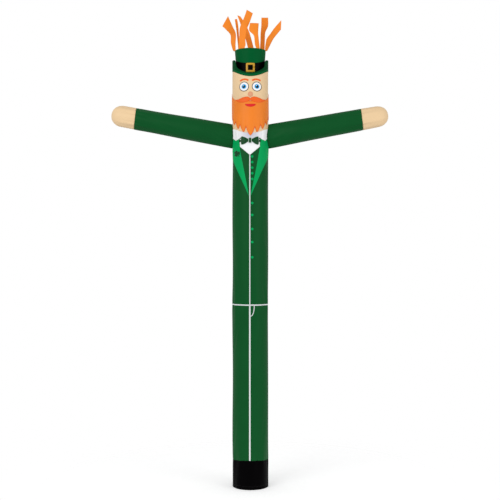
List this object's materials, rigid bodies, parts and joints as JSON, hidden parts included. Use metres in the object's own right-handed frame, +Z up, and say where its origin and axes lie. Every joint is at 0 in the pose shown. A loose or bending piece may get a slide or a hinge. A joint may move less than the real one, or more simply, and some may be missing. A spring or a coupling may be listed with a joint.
{
  "type": "inflatable air dancer",
  "caption": "Tall blown-up nylon tube figure in a green suit, with two arms, a buckled hat and ribbon hair, standing on its open hem.",
  "frame": {"origin": "centre of the open hem, on the ground", "axes": "+Z up along the tube, the figure's front faces -Y, its arms reach out along +X and -X"},
  "size_m": [3.5262, 0.4583, 6.0532],
  "materials": {
    "suit_green": "satin",
    "lapel_green": "satin",
    "hat_green": "satin",
    "dark_green": "satin",
    "black_cloth": "satin",
    "skin_cloth": "satin",
    "rosy_cloth": "satin",
    "hair_orange": "satin",
    "deep_orange": "satin",
    "white_cloth": "satin",
    "white_tape": "matte",
    "gold_cloth": "gloss",
    "blue_cloth": "satin",
    "red_cloth": "satin"
  },
  "bodies": {
    "root": {"trouser_tube": "suit_green", "jacket_tube": "suit_green", "sleeve_left": "suit_green", "sleeve_right": "suit_green", "lapel_left": "lapel_green", "lapel_right": "lapel_green", "button_01": "lapel_green", "button_02": "lapel_green", "button_03": "lapel_green", "button_04": "lapel_green", "button_05": "lapel_green", "button_06": "lapel_green", "button_07": "lapel_green", "button_08": "lapel_green", "button_09": "lapel_green", "button_10": "lapel_green", "hat_crown": "hat_green", "hat_brim": "hat_green", "bow_tie": "dark_green", "bow_knot": "dark_green", "clover": "dark_green", "base_cuff": "black_cloth", "hat_band": "black_cloth", "head_tube": "skin_cloth", "hand_left": "skin_cloth", "hand_right": "skin_cloth", "nose": "rosy_cloth", "hair_fringe": "hair_orange", "beard": "hair_orange", "moustache": "deep_orange", "brow_left": "deep_orange", "brow_right": "deep_orange", "shirt_front": "white_cloth", "collar_front": "white_cloth", "collar_back": "white_cloth", "eye_left": "white_cloth", "eye_right": "white_cloth", "waist_tape": "white_tape", "front_tape_upper": "white_tape", "front_tape_lower": "white_tape", "fly_tape": "white_tape", "buckle": "gold_cloth", "iris_left": "blue_cloth", "iris_right": "blue_cloth", "mouth": "red_cloth"}
  },
  "joints": []
}
